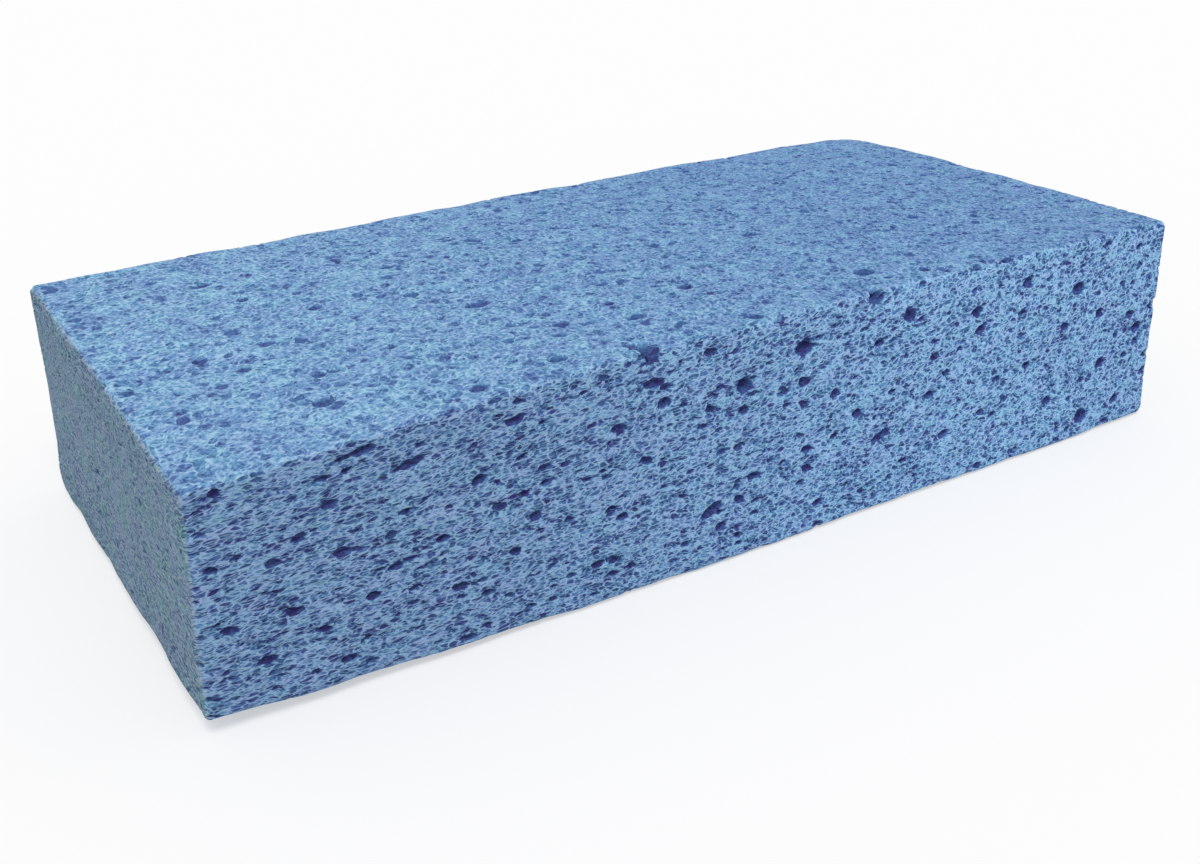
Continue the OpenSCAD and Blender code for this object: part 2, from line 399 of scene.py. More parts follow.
@dataclass(frozen=True)
class Foam:
    """The foam's inner make: the grain that its cells follow, and its sizes of pore."""

    # Cells to a millimetre along and across the block at mid length, and upwards, and how much these grow
    # for each millimetre to the right: the foam is pressed flat at the left and open at the right
    level: float = 0.62
    level_growth: float = 0.0012
    upright: float = 1.3
    upright_growth: float = -0.003
    wobble: float = 1.1
    wobble_scale: float = 0.6
    scattered: PoreLayer = PoreLayer(6.5, 0.05, 0.36, 1.8, 3.1, rarity=2.5)
    middling: PoreLayer = PoreLayer(2.2, 0.05, 0.42, 0.85, 11.7, rarity=2.0, faint=0.1, plain=0.28)
    small: PoreLayer = PoreLayer(1.15, 0.14, 0.6, 0.45, 23.3, rarity=1.3, faint=0.15, plain=0.42)
    net: CellNet = CellNet(0.85, 5.3, ridge=0.24, closed=0.3)
    fine_net: CellNet = CellNet(0.45, 37.9, ridge=0.3, closed=0.3)
    # From where to where a direction's part turns from one side of the block to the next, and to the sides
    # that the photo shows
    turn_from: float = 0.55
    turn_to: float = 0.85
    shown_from: float = 0.2
    shown_to: float = 0.5
    # How much narrower pores are where the photo shows the sides, on top and underneath, and at the ends
    shown_less: float = 0.7
    flat_less: float = 0.05
    end_middling_less: float = 0.35
    end_small_less: float = 0.2
    # How much deeper a side's pores are under their upper rims, and how much shallower they are elsewhere
    lean: float = 0.45
    flat_shallower: float = 0.3
    end_shallower: float = 0.3

    def grain(self, sheet: Sheet, place: Any) -> bpy.types.NodeSocket:
        """The place in the grain, where every cell is as long as it is wide.

        Args:
            sheet: The tree to build in.
            place: The place in the block.

        Returns:
            The output that gives the place in the grain.
        """
        x, y, z = sheet.parts(place)
        level = x * self.level_growth + self.level
        tall = x * self.upright_growth + self.upright
        straight = sheet.vector(x * (x * (self.level_growth / 2) + self.level), y * level, z * tall)
        push = sheet.noise(straight, self.wobble_scale).outputs["Color"]
        middle = sheet.vectors("SUBTRACT", push, NOISE_MIDDLE)
        return sheet.vectors("ADD", straight, sheet.scaled(middle, self.wobble))

    def regions(self, sheet: Sheet, outward: Any) -> tuple[Field, Field, Field]:
        """The region that a point belongs to, each from 0 to 1.

        Args:
            sheet: The tree to build in.
            outward: The direction out of the block.

        Returns:
            How far it is on top or underneath, at an end, and on the front or top that the photo shows.
        """
        x, y, z = sheet.parts(outward)
        flat = z.size().rise(self.turn_from, self.turn_to)
        end = x.size().rise(self.turn_from, self.turn_to)
        front = (y * -1.0).rise(self.shown_from, self.shown_to)
        shown = (z.rise(self.shown_from, self.shown_to) + front).at_most(1.0)
        return flat, end, shown

    def spreads(self, flat: Field, end: Field, shown: Field) -> tuple[Field, Field, Field]:
        """How wide pores are in a region.

        Args:
            flat: How far it is on top or underneath.
            end: How far it is at an end.
            shown: How far the photo shows it.

        Returns:
            Factors on the width of the scattered, the middling and the small pores.
        """
        middling = 1.0 - flat * self.flat_less - end * self.end_middling_less
        small = 1.0 - flat * self.flat_less - end * self.end_small_less
        return 1.0 - shown * self.shown_less, middling, small

    def modelled(self, sheet: Sheet, place: Any, outward: Any) -> Field:
        """The scattered pores that are sunk into the mesh.

        Args:
            sheet: The tree to build in.
            place: The place in the block.
            outward: The direction out of the block.

        Returns:
            Their depth in millimetres.
        """
        grain = self.grain(sheet, place)
        flat, end, shown = self.regions(sheet, outward)
        lean = self.lean - flat * self.lean
        plain = 1.0 - flat * self.flat_shallower - end * self.end_shallower
        wide, middle, narrow = self.spreads(flat, end, shown)
        scattered = self.scattered.sunk(sheet, grain, lean, wide)
        middling = self.middling.sunk(sheet, grain, lean, middle)
        small = self.small.sunk(sheet, grain, lean, narrow)
        return scattered.at_least(middling * plain) + small * plain

    def hollows(self, sheet: Sheet, place: Any, outward: Any) -> tuple[Field, Field]:
        """How much a place lies in the scattered pores, each from 0 to 1, where the material paints their
        shade.

        Args:
            sheet: The tree to build in.
            place: The place in the block.
            outward: The direction out of the block.

        Returns:
            How much it lies in a wide pore, and in a small one.
        """
        grain = self.grain(sheet, place)
        wide, middle, narrow = self.spreads(*self.regions(sheet, outward))
        scattered = self.scattered.seen(sheet, grain, wide)
        middling = self.middling.seen(sheet, grain, middle)
        return scattered.at_least(middling), self.small.seen(sheet, grain, narrow)


FOAM = Foam()


@dataclass
class Block:
    """The foam block's form, as in the part's source. Lengths are in millimetres."""

    foot_out: float = 0.9
    end_foot_out: float = 1.6
    front_rise: float = 1.3
    front_left_fall: float = 2.2
    front_right_rise: float = 0.5
    back_rise: float = 0.5
    top_crown: float = 0.4
    front_top_in: float = 0.7
    toe_lift: float = 2.6
    toe_reach: float = 90.0
    front_right_corner_r: float = 1.5
    back_right_corner_r: float = 9.0
    back_base_r: float = 5.0
    edge_r: float = 1.2
    # Depth and length of the waves of drying, and of the wear along the edges
    waviness: float = 0.45
    wave_length: float = 18.0
    edge_wear: float = 0.35
    wear_length: float = 4.0

    def __post_init__(self) -> None:
        """Takes the block's length, width and height from the frame's box, less its feet and its rise."""
        low, high = (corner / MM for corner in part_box("sponge"))
        self.length = high.x - low.x - 2 * self.end_foot_out
        self.width = high.y - low.y - 2 * self.foot_out
        tilt = self.front_right_rise + self.front_left_fall
        sag = self.front_rise - (self.front_right_rise - self.front_left_fall) / 2
        self.height = high.z - low.z - self.front_rise - tilt * tilt / (16 * sag)

    def shape(self, sheet: Sheet, place: Any) -> bpy.types.NodeSocket:
        """Bends the plain box into the block: edges and corners first, then its crown, feet and toe.

        Args:
            sheet: The tree to build in.
            place: A point of the plain box, which has its middle at the origin.

        Returns:
            The output that gives the point's place in the block, which stands on the origin.
        """
        x, y, z = sheet.parts(place)
        z = z + self.height / 2
        x, y, z = self.round_edges(sheet, x, y, z)
        y, z = self.round_pair(y, z, self.width / 2 - self.back_base_r, self.back_base_r, -1.0)
        x, y = self.round_corners(x, y)
        half_l, half_w = self.length / 2, self.width / 2
        u = x / half_l
        back = (y + half_w) / self.width
        up = z / self.height
        front_z = self.bowed(u, -self.front_left_fall, self.front_rise, self.front_right_rise)
        back_z = self.bowed(u, 0.0, self.back_rise, 0.0)
        crown = back * (1.0 - back) * (4 * self.top_crown)
        top = front_z * (1.0 - back) + back_z * back + crown + self.height
        toe = ((self.toe_reach - half_l - x) / self.toe_reach).at_least(0.0).power(2.0) * self.toe_lift
        swelling = 1.0 - u * u
        foot = (1.0 - up) * self.foot_out
        side = (1.0 - back) * (up * self.front_top_in - foot) + back * foot
        x = x * (1.0 + (1.0 - up) * (self.end_foot_out / half_l))
        return sheet.vector(x, y + swelling * side, up * top + (1.0 - up) * (1.0 - back) * toe)

    def round_edges(self, sheet: Sheet, x: Field, y: Field, z: Field) -> tuple[Field, Field, Field]:
        """Rounds all twelve edges of the box by the edge radius.

        Args:
            sheet: The tree to build in; not used.
            x: The point's place along the box.
            y: Its place across it.
            z: Its height from the box's foot.

        Returns:
            The point's new place.
        """
        r = self.edge_r
        limits = ((self.length / 2 - r, x), (self.width / 2 - r, y), (None, z))
        cores = []
        for limit, value in limits:
            low, high = (r, self.height - r) if limit is None else (-limit, limit)
            cores.append(value.at_least(low).at_most(high))
        offsets = [value - core for value, core in zip((x, y, z), cores)]
        far = offsets[0].size().at_least(offsets[1].size()).at_least(offsets[2].size())
        reach = sum((d * d for d in offsets[1:]), offsets[0] * offsets[0]).root().at_least(TINY)
        return tuple(core + d * far / reach for core, d in zip(cores, offsets))

    def round_pair(self, a: Field, b: Field, a_core: Any, b_core: Any, way: float) -> tuple[Field, Field]:
        """Rounds one corner of a section.

        Args:
            a: The point's place in the first direction, in which the corner lies outwards.
            b: Its place in the second direction.
            a_core: Where the rounding starts in the first direction.
            b_core: Where it starts in the second direction.
            way: 1 if the corner lies upwards in the second direction, -1 if downwards.

        Returns:
            The point's new place in both directions.
        """
        a_in = a.at_most(a_core)
        b_in = b.at_least(b_core) if way < 0 else b.at_most(b_core)
        da, db = a - a_in, (b - b_in) * way
        share = da.at_least(db) / (da * da + db * db).root().at_least(TINY)
        return a_in + da * share, b_in + db * share * way

    def round_corners(self, x: Field, y: Field) -> tuple[Field, Field]:
        """Rounds the two upright corners of the right end, each by its own radius.

        Args:
            x: The point's place along the block.
            y: Its place across it.

        Returns:
            The point's new place.
        """
        r = y.rise(-1.0, 1.0, self.front_right_corner_r, self.back_right_corner_r)
        x, across = self.round_pair(x, y.size(), self.length / 2 - r, self.width / 2 - r, 1.0)
        return x, across * y.sign()

    def bowed(self, u: Field, left: float, middle: float, right: float) -> Field:
        """A height that runs as a parabola through three values at u of -1, 0 and 1."""
        return u * ((right - left) / 2) + u * u * ((left + right) / 2 - middle) + middle

    def top_z(self, x: float, y: float) -> float:
        """Height of the top at a point, for placing the large pores.

        Args:
            x: The point's place along the block.
            y: Its place across it.

        Returns:
            The height above the block's foot.
        """
        u = x / (self.length / 2)
        back = (y + self.width / 2) / self.width
        ends = ((-self.front_left_fall, self.front_rise, self.front_right_rise), (0.0, self.back_rise, 0.0))
        front, rear = (m + (r - l) / 2 * u + ((l + r) / 2 - m) * u * u for l, m, r in ends)
        return self.height + front * (1 - back) + rear * back + 4 * self.top_crown * back * (1 - back)

    def front_y(self, x: float, z: float) -> float:
        """Place of the front across the block at a point, for placing the large pores.

        Args:
            x: The point's place along the block.
            z: Its height.

        Returns:
            The place.
        """
        up = z / self.height
        swelling = 1 - (x / (self.length / 2)) ** 2
        return -self.width / 2 + swelling * (up * self.front_top_in - (1 - up) * self.foot_out)


LARGE_PORES = tuple(
    [LargePore(Side.FRONT, *row) for row in (
        (-95, 92, 2.5, 2.0), (-79, 76, 4.5, 2.0, 10), (-84, 67, 3.5, 1.8), (-97, 64, 3.0, 1.8),
        (-88, 60, 4.0, 1.8), (-73, 93, 5.5, 2.0, 5), (-66, 83, 8.0, 2.0, 15), (-48, 89, 5.0, 1.8, 12),
        (-55, 69, 4.0, 2.2, 5), (-78, 57, 4.5, 1.8), (-70, 58, 3.0, 1.8), (-62, 50, 3.5, 2.0),
        (-52, 56, 3.5, 1.8), (-70, 45, 4.0, 2.0, 10), (-74, 36, 3.5, 2.0), (-60, 29, 3.5, 2.0),
        (-86, 40, 4.0, 1.8), (-96, 40, 3.5, 1.8), (-82, 29, 3.5, 1.8), (-79, 14, 4.0, 1.8),
        (-91, 24, 4.5, 1.8), (-50, 36, 3.0, 2.0), (-23, 88, 6.0, 2.4, 8), (-21, 79, 4.0, 2.6),
        (-30, 74, 4.0, 2.2, 5), (-12, 95, 3.5, 2.2), (-5, 77, 4.5, 3.6), (-5, 67, 3.0, 2.4),
        (-12, 71, 3.0, 2.2), (8, 86, 4.8, 4.6), (8, 71, 3.6, 2.6), (-46, 48, 3.5, 2.0),
        (-25, 57, 3.5, 2.2), (-12, 26, 7.0, 2.8, 18), (-6, 27, 3.0, 2.4), (-10, 18, 3.0, 2.0),
        (-3, 36, 4.0, 2.2), (9, 31, 3.0, 2.2), (9, 40, 3.0, 2.2), (15, 62, 3.2, 2.4),
        (20, 50, 3.2, 2.4), (26, 36, 6.0, 2.4, 20), (24, 100, 5.0, 4.4), (32, 88, 4.2, 3.2),
        (56, 102, 3.6, 2.6), (49, 81, 4.0, 3.0), (62, 88, 3.4, 2.8), (76, 79, 4.4, 3.4),
        (50, 72, 3.4, 2.4), (63, 48, 3.2, 2.6), (83, 63, 3.0, 3.0), (95, 50, 4.0, 3.6),
        (73, 62, 3.2, 2.4), (91, 14, 3.2, 3.0), (81, 11, 5.0, 4.8), (25, 79, 3.2, 2.4),
        (85, 36, 3.6, 3.0), (38, 48, 3.4, 2.4), (42, 26, 3.6, 2.2, 10), (99, 60, 4.4, 3.2),
        (99, 34, 3.0, 2.4), (70, 26, 3.4, 2.4), (-35, 19, 4.0, 1.8, 5), (-30, 36, 3.0, 2.0),
        (99, 25, 2.6, 2.2),
    )]
    + [LargePore(Side.TOP, *row) for row in (
        (-73, -68, 4.8, 3.0, -10), (-73, 60, 6.0, 2.0), (-84, -13, 3.4, 2.4), (-79, -29, 3.4, 2.2),
        (-70, -48, 3.2, 2.2), (-60, 10, 3.6, 2.2), (-69, 35, 3.2, 2.0), (-97, -24, 3.0, 2.4),
        (-36, -23, 6.5, 2.4), (-41, 35, 3.4, 2.2), (-29, -58, 4.4, 2.6), (-23, -95, 5.0, 4.4),
        (-37, -85, 4.2, 2.4), (-52, -89, 4.0, 2.4), (-2, -54, 4.0, 2.6), (-13, 35, 3.4, 2.4),
        (-9, -2, 3.4, 2.4), (-17, -68, 4.4, 2.2, 15), (26, -16, 4.4, 2.6), (7, -4, 3.4, 2.4),
        (29, -79, 5.5, 3.2), (-1, -93, 3.8, 2.6), (55, 41, 4.0, 2.4), (60, -37, 3.8, 2.4),
    )]
    + [LargePore(Side.LEFT, *row) for row in (
        (-50, 91, 3.4, 1.8), (-49, 67, 3.0, 1.8), (16, 48, 3.0, 1.8), (62, 71, 2.8, 1.8),
    )]
)


@dataclass
class Sponge:
    """The sponge: a porous block of foam with its large pores where the part has them."""

    block: Block
    # Spacing of the points that the pores are sunk into, and the triangles kept of them
    point_spacing: float = 0.32
    quick_spacing: float = 0.55
    triangles: int = 196000
    # Depth of a large pore as a share of its height, the shares of its length and height that stay open in
    # the dressed mesh, how much wider it is across the top, and how far its outline may wander
    large_depth: float = 0.55
    large_length: float = 0.8
    large_height: float = 0.74
    top_width: float = 1.6
    outline_wander: float = 0.8
    wander_scale: float = 0.35
    # Where a large pore's floor ends and where its wall ends, in its own radii, and how its floor slopes
    floor_to: float = 0.5
    wall_to: float = 1.15
    slope: float = 0.4
    slope_middle: float = 0.85
    # Where an edge of the block starts and ends, by how far a direction lies along an axis
    edge_from: float = 0.72
    edge_to: float = 0.99

    def markers(self) -> bpy.types.Object:
        """Makes the object that marks the large pores.

        Returns:
            An object with one point for each large pore, which holds how the pore lies and how big it is.
        """
        points, runs, rises, outs, depths = [], [], [], [], []
        for pore in LARGE_PORES:
            run, rise, out = (Vector(d) for d in pore.side.value)
            turned = Matrix.Rotation(math.radians(pore.turn), 3, run.cross(rise))
            points.append(self.place(pore))
            runs.append(turned @ run / (pore.length / 2 * self.large_length))
            height = pore.height * self.large_height * (self.top_width if pore.side is Side.TOP else 1.0)
            rises.append(turned @ rise / (height / 2))
            outs.append(out / height)
            depths.append(pore.height * self.large_depth)
        mesh = bpy.data.meshes.new("large pores")
        mesh.from_pydata(points, [], [])
        for name, values in (("run", runs), ("rise", rises), ("out", outs)):
            layer = mesh.attributes.new(name, "FLOAT_VECTOR", "POINT")
            layer.data.foreach_set("vector", [v for value in values for v in value])
        mesh.attributes.new("sink", "FLOAT", "POINT").data.foreach_set("value", depths)
        return bpy.data.objects.new("sponge_foam", mesh)

    def place(self, pore: LargePore) -> Vector:
        """Where a large pore opens in the block's skin.

        Args:
            pore: The pore.

        Returns:
            The place in the block.
        """
        b = self.block
        half_l, half_w = b.length / 2, b.width / 2
        if pore.side is Side.TOP:
            x, y = pore.along / 100 * half_l, pore.up / 100 * half_w
            return Vector((x, y, b.top_z(x, y)))
        z = pore.up / 100 * b.height
        if pore.side is Side.LEFT:
            return Vector((-half_l - b.end_foot_out * (1 - z / b.height), pore.along / 100 * half_w, z))
        x = pore.along / 100 * half_l
        return Vector((x, b.front_y(x, z), z))

    def tree(self, material: bpy.types.Material) -> bpy.types.NodeTree:
        """Builds the tree that makes the foam block out of the large pores' points.

        Args:
            material: The foam's material.

        Returns:
            The tree, with the numbers of points along each edge as inputs.
        """
        tree = bpy.data.node_groups.new("porous block", "GeometryNodeTree")
        tree.interface.new_socket("Large pores", in_out="INPUT", socket_type="NodeSocketGeometry")
        for name in POINT_COUNTS:
            tree.interface.new_socket(name, in_out="INPUT", socket_type="NodeSocketInt")
        for name in ("Length", "Width", "Height"):
            tree.interface.new_socket(name, in_out="INPUT", socket_type="NodeSocketFloat")
        tree.interface.new_socket("Foam", in_out="OUTPUT", socket_type="NodeSocketGeometry")
        sheet = Points(tree)
        inputs = sheet.add("NodeGroupInput").outputs
        counts = {"Vertices " + letter: inputs[name] for letter, name in zip("XYZ", POINT_COUNTS)}
        size = sheet.vector(inputs["Length"], inputs["Width"], inputs["Height"])
        box = sheet.add("GeometryNodeMeshCube", {"Size": size, **counts}).outputs["Mesh"]
        shape = self.block.shape(sheet, sheet.here())
        formed = sheet.add("GeometryNodeSetPosition", {"Geometry": box, "Position": shape})
        normal = sheet.add("GeometryNodeInputNormal").outputs[0]
        faced = sheet.keep(formed.outputs[0], "outward", "FLOAT_VECTOR", normal)
        outward = sheet.kept("outward", "FLOAT_VECTOR")
        waved = sheet.moved_in(faced, self.waves(sheet, outward))
        skin = sheet.keep(waved, "skin", "FLOAT_VECTOR", sheet.here())
        reach, sink = self.large(sheet, inputs["Large pores"])
        skin = sheet.keep(skin, "large", "FLOAT", reach)
        depth = FOAM.modelled(sheet, sheet.here(), outward).at_least(sink)
        skin = sheet.keep(skin, "depth", "FLOAT", depth)
        sunk = sheet.moved_in(skin, Field(sheet, sheet.kept("depth", "FLOAT")))
        metres = sheet.add("GeometryNodeTransform", {"Geometry": sunk, "Scale": (MM, MM, MM)})
        real = sheet.add("GeometryNodeRealizeInstances", {"Geometry": metres.outputs[0]})
        dressed = sheet.add("GeometryNodeSetMaterial", {"Geometry": real.outputs[0], "Material": material})
        sheet.add("NodeGroupOutput", {"Foam": dressed.outputs[0]})
        return tree

    def waves(self, sheet: Points, outward: Any) -> Field:
        """The long waves that drying leaves in the skin, and the wear along its edges.

        Args:
            sheet: The tree to build in.
            outward: The direction out of the block.

        Returns:
            The depth that both take off the skin.
        """
        b = self.block
        edge = sheet.edge(outward, self.edge_from, self.edge_to)
        wear = sheet.level(sheet.here(), 1 / b.wear_length, 3.0).rise(*FINE_NOISE_BAND)
        wave = sheet.level(sheet.here(), 1 / b.wave_length).rise(*NOISE_BAND)
        return wave * b.waviness + wear * edge * b.edge_wear

    def large(self, sheet: Points, markers: Any) -> tuple[Field, Field]:
        """The nearest large pore: how far its middle is in its own radii, and its depth here.

        Args:
            sheet: The tree to build in.
            markers: The points that mark the large pores.

        Returns:
            The distance, and the depth, which slopes from the pore's upper rim down to its lower lip.
        """
        noise = sheet.noise(sheet.here(), self.wander_scale)
        push = sheet.vectors("SUBTRACT", noise.outputs["Color"], NOISE_MIDDLE)
        place = sheet.vectors("ADD", sheet.here(), sheet.scaled(push, self.outline_wander * 2))
        inputs = {"Geometry": markers, "Sample Position": sheet.here()}
        nearest = sheet.add("GeometryNodeSampleNearest", inputs, domain="POINT").outputs["Index"]

        def of_nearest(kind: str, value: Any) -> bpy.types.NodeSocket:
            """The nearest marker's value.

            Args:
                kind: The value's data type.
                value: The value, which every marker has.

            Returns:
                The output that gives the nearest marker's.
            """
            inputs = {"Geometry": markers, "Value": value, "Index": nearest}
            node = sheet.add("GeometryNodeSampleIndex", inputs, data_type=kind, domain="POINT")
            return node.outputs["Value"]

        middle = of_nearest("FLOAT_VECTOR", sheet.here())
        offset = sheet.vectors("SUBTRACT", place, middle)
        run = sheet.dot(offset, of_nearest("FLOAT_VECTOR", sheet.kept("run", "FLOAT_VECTOR")))
        rise = sheet.dot(offset, of_nearest("FLOAT_VECTOR", sheet.kept("rise", "FLOAT_VECTOR")))
        out = sheet.dot(offset, of_nearest("FLOAT_VECTOR", sheet.kept("out", "FLOAT_VECTOR")))
        sink = Field(sheet, of_nearest("FLOAT", sheet.kept("sink", "FLOAT")))
        reach = (run * run + rise * rise + out * out).root()
        slope = rise.at_least(-1.0).at_most(1.0) * self.slope + self.slope_middle
        return reach, reach.rise(self.floor_to, self.wall_to, 1.0, 0.0) * slope * sink

    def build(self, material: bpy.types.Material) -> bpy.types.Object:
        """Makes the foam's mesh and hangs it on the frame.

        Args:
            material: The foam's material.

        Returns:
            The finished piece.
        """
        piece = self.markers()
        bpy.context.collection.objects.link(piece)
        modifier = piece.modifiers.new("porous block", "NODES")
        modifier.node_group = self.tree(material)
        b = self.block
        spacing = self.point_spacing
        values = {"Length": b.length, "Width": b.width, "Height": b.height}
        for name, size in zip(POINT_COUNTS, (b.length, b.width, b.height)):
            values[name] = round(size / spacing)
        for item in modifier.node_group.interface.items_tree:
            if item.name in values:
                modifier[item.identifier] = values[item.name]
        self.bake(piece, modifier)
        faces = 2 * len(piece.data.polygons)
        if faces > self.triangles:
            thin = piece.modifiers.new("thin out", "DECIMATE")
            thin.ratio = self.triangles / faces
            self.bake(piece, thin)
        for polygon in piece.data.polygons:
            polygon.use_smooth = True
        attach(piece, "root")
        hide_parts("sponge")
        return piece

    def bake(self, piece: bpy.types.Object, modifier: bpy.types.Modifier) -> None:
        """Turns what a modifier makes into the piece's own mesh, and takes the modifier off.

        Args:
            piece: The piece.
            modifier: The modifier.
        """
        graph = bpy.context.evaluated_depsgraph_get()
        made = bpy.data.meshes.new_from_object(
            piece.evaluated_get(graph), preserve_all_data_layers=True, depsgraph=graph
        )
        piece.modifiers.remove(modifier)
        old = piece.data
        piece.data = made
        bpy.data.meshes.remove(old)


Tint = tuple[float, float, float]


@dataclass(frozen=True)
class Spot:
    """What the material knows of the spot that it colours."""

    sheet: Sheet
    # The spot's place on the skin before the pores were sunk, and in the foam's grain
    skin: Any
    grain: Any
    # How far it is on top or underneath, at an end, and at an edge
    flat: Field
    end: Field
    edge: Field
    # How much it lies in a wide pore and in a small one, which the material darkens as painted shade
    wide: Field
    small: Field
    # How open the net and the fine net are, and a fine grain round 0; open cells are painted darker, as
    # painted shade
    net: Field
    fine: Field
    speck: Field


@dataclass(frozen=True)
class FoamFinish:
    """Dry blue foam: pale torn ridges round dark cells, matte all over. The cells and pores are painted
    darker, as painted shade in their hollows.
    """

    # Colours from the palest ridge down to the deepest hollow, and how dark each stop is from 0 to 1
    # The darker stops are painted shade in the open cells and pores; the palest ones are the foam's own
    # ridges
    shades: tuple[tuple[float, Tint], ...] = (
        (0.0, (0.40, 0.60, 0.88)),
        (0.35, (0.165, 0.335, 0.64)),
        (0.65, (0.08, 0.165, 0.42)),
        (1.0, (0.066, 0.056, 0.25)),
    )
    # How dark plain foam is, and how much paler it is on top, at the ends and on worn edges
    base: float = 0.53
    flat_paler: float = 0.09
    end_paler: float = 0.06
    edge_wear: float = 0.1
    edge_from: float = 0.72
    edge_to: float = 0.95
    # Tint of the two ends: painted shade, which turns them greyer and duller
    end_shade_tint: Tint = (1.19, 1.03, 0.8)
    # Tints of the front at its left and right ends, and of the top there; the front's darker, greyer left end
    # is painted shade
    left_shade_tint: Tint = (0.62, 0.64, 0.66)
    right_tint: Tint = (0.81, 0.90, 0.91)
    top_left_tint: Tint = (0.91, 0.93, 0.85)
    top_right_tint: Tint = (0.75, 0.79, 0.80)
    tint_from: float = -90.0
    tint_to: float = 60.0
    # Scales and pairs of tints of the clouds all over, of the streaks and of the ends' mottle
    cloud_scale: float = 0.06
    cloud: tuple[Tint, Tint] = ((0.95, 0.95, 0.96), (1.05, 1.05, 1.04))
    hue_scale: float = 0.4
    hue: tuple[Tint, Tint] = ((1.05, 0.97, 1.02), (0.93, 1.03, 0.99))
    mottle_scale: float = 0.2
    mottle: tuple[Tint, Tint] = ((1.08, 0.97, 1.03), (0.95, 1.03, 0.93))
    # How much each thing darkens the foam: the net's open cells and the pores as painted shade, the specks
    # and streaks as its own tone
    speck_size: float = 0.4
    speck_contrast: float = 1.2
    net_contrast: float = 0.88
    fine_contrast: float = 0.5
    small_pore_shade: float = 0.37
    wide_pore_shade: float = 0.47
    streak_contrast: float = 0.14
    # How much weaker the texture and the pores are on top, at the ends and in wide pores
    flat_calm: float = 0.3
    end_calm: float = 0.4
    wide_calm: float = 0.6
    flat_net_less: float = 0.5
    flat_speck_more: float = 0.35
    flat_pit_shade_less: float = 0.3
    end_pit_shade_less: float = 0.55
    # How strong a scattered pore's painted shade is beside a large one's, and where a large one's edge starts
    # and ends
    scattered: float = 0.9
    large_from: float = 0.85
    large_to: float = 1.05
    # Depths of the finest relief, in millimetres
    net_depth: float = 0.22
    speck_depth: float = 0.2
    small_depth: float = 0.2
    roughness: float = 0.95
    sheen: float = 0.15

    def material(self) -> bpy.types.Material:
        """Builds the foam's material.

        Returns:
            The material.
        """
        made = bpy.data.materials.new("blue_foam")
        made.use_nodes = True
        sheet = Sheet(made.node_tree)
        shader = made.node_tree.nodes["Principled BSDF"]
        spot = self.spot(sheet)
        plain = 1.0 - spot.flat * self.flat_calm - spot.end * self.end_calm
        sheet.feed(shader.inputs["Base Color"], self.colour(spot, plain))
        relief = spot.net * self.net_depth + spot.speck * self.speck_depth + spot.small * self.small_depth
        bump = sheet.add("ShaderNodeBump", {"Strength": 1.0, "Distance": MM, "Height": relief * plain * -1.0})
        sheet.feed(shader.inputs["Normal"], bump.outputs[0])
        shader.inputs["Roughness"].default_value = self.roughness
        shader.inputs["Specular IOR Level"].default_value = self.sheen
        return made

    def spot(self, sheet: Sheet) -> Spot:
        """Works out what the material has to know of a spot.

        Args:
            sheet: The material's tree.

        Returns:
            The spot.
        """
        skin = sheet.add("ShaderNodeAttribute", attribute_name="skin").outputs["Vector"]
        outward = sheet.add("ShaderNodeAttribute", attribute_name="outward").outputs["Vector"]
        large = Field(sheet, sheet.add("ShaderNodeAttribute", attribute_name="large").outputs["Fac"])
        place = sheet.scaled(sheet.add("ShaderNodeTexCoord").outputs["Object"], 1 / MM)
        grain = FOAM.grain(sheet, place)
        flat, end, _ = FOAM.regions(sheet, outward)
        wide, small = FOAM.hollows(sheet, skin, outward)
        wide = (wide * self.scattered).at_least(large.rise(self.large_from, self.large_to, 1.0, 0.0))
        return Spot(
            sheet=sheet, skin=skin, grain=grain, flat=flat, end=end,
            edge=sheet.edge(outward, self.edge_from, self.edge_to),
            wide=wide, small=small,
            net=FOAM.net.opened(sheet, grain), fine=FOAM.fine_net.opened(sheet, grain),
            speck=sheet.level(grain, 1 / self.speck_size, 3.0) - 0.5,
        )

    def colour(self, spot: Spot, plain: Field) -> bpy.types.NodeSocket:
        """The foam's colour.

        Args:
            spot: The spot.
            plain: How strong the texture is in the spot's region.

        Returns:
            The output that gives the colour.
        """
        sheet = spot.sheet
        hue = sheet.level(spot.grain, self.hue_scale, 3.0).rise(*NOISE_BAND)
        mottle = sheet.level(spot.skin, self.mottle_scale, 4.0).rise(*FINE_NOISE_BAND)
        # The front grows darker and greyer towards its left end: painted shade
        along = sheet.parts(spot.skin)[0].rise(self.tint_from, self.tint_to)
        side = sheet.mixed(along, self.left_shade_tint, self.right_tint)
        top = sheet.mixed(along, self.top_left_tint, self.top_right_tint)
        tints = (
            # Painted shade: the ends greyer and duller
            sheet.mixed(spot.end, WHITE, self.end_shade_tint),
            sheet.mixed(sheet.level(spot.skin, self.cloud_scale, 3.0), *self.cloud),
            sheet.mixed(hue, *self.hue),
            sheet.mixed(spot.end, WHITE, sheet.mixed(mottle, *self.mottle)),
            sheet.mixed(spot.flat, side, top),
        )
        colour = self.shaded(sheet, self.dark(spot, plain, hue))
        for tint in tints:
            colour = sheet.tinted(colour, tint)
        return colour

    def dark(self, spot: Spot, plain: Field, hue: Field) -> Field:
        """How dark the foam is painted: its own tone, with painted shade in the open cells and pores.

        Args:
            spot: The spot.
            plain: How strong the texture is in the spot's region.
            hue: Where the spot lies between the two tints of the streaks.

        Returns:
            The darkness, from 0 to 1.
        """
        net = (spot.net - 0.5) * (1.0 - spot.flat * self.flat_net_less) * self.net_contrast
        speck = spot.speck * (1.0 + spot.flat * self.flat_speck_more) * self.speck_contrast
        texture = net + (spot.fine - 0.5) * self.fine_contrast + speck
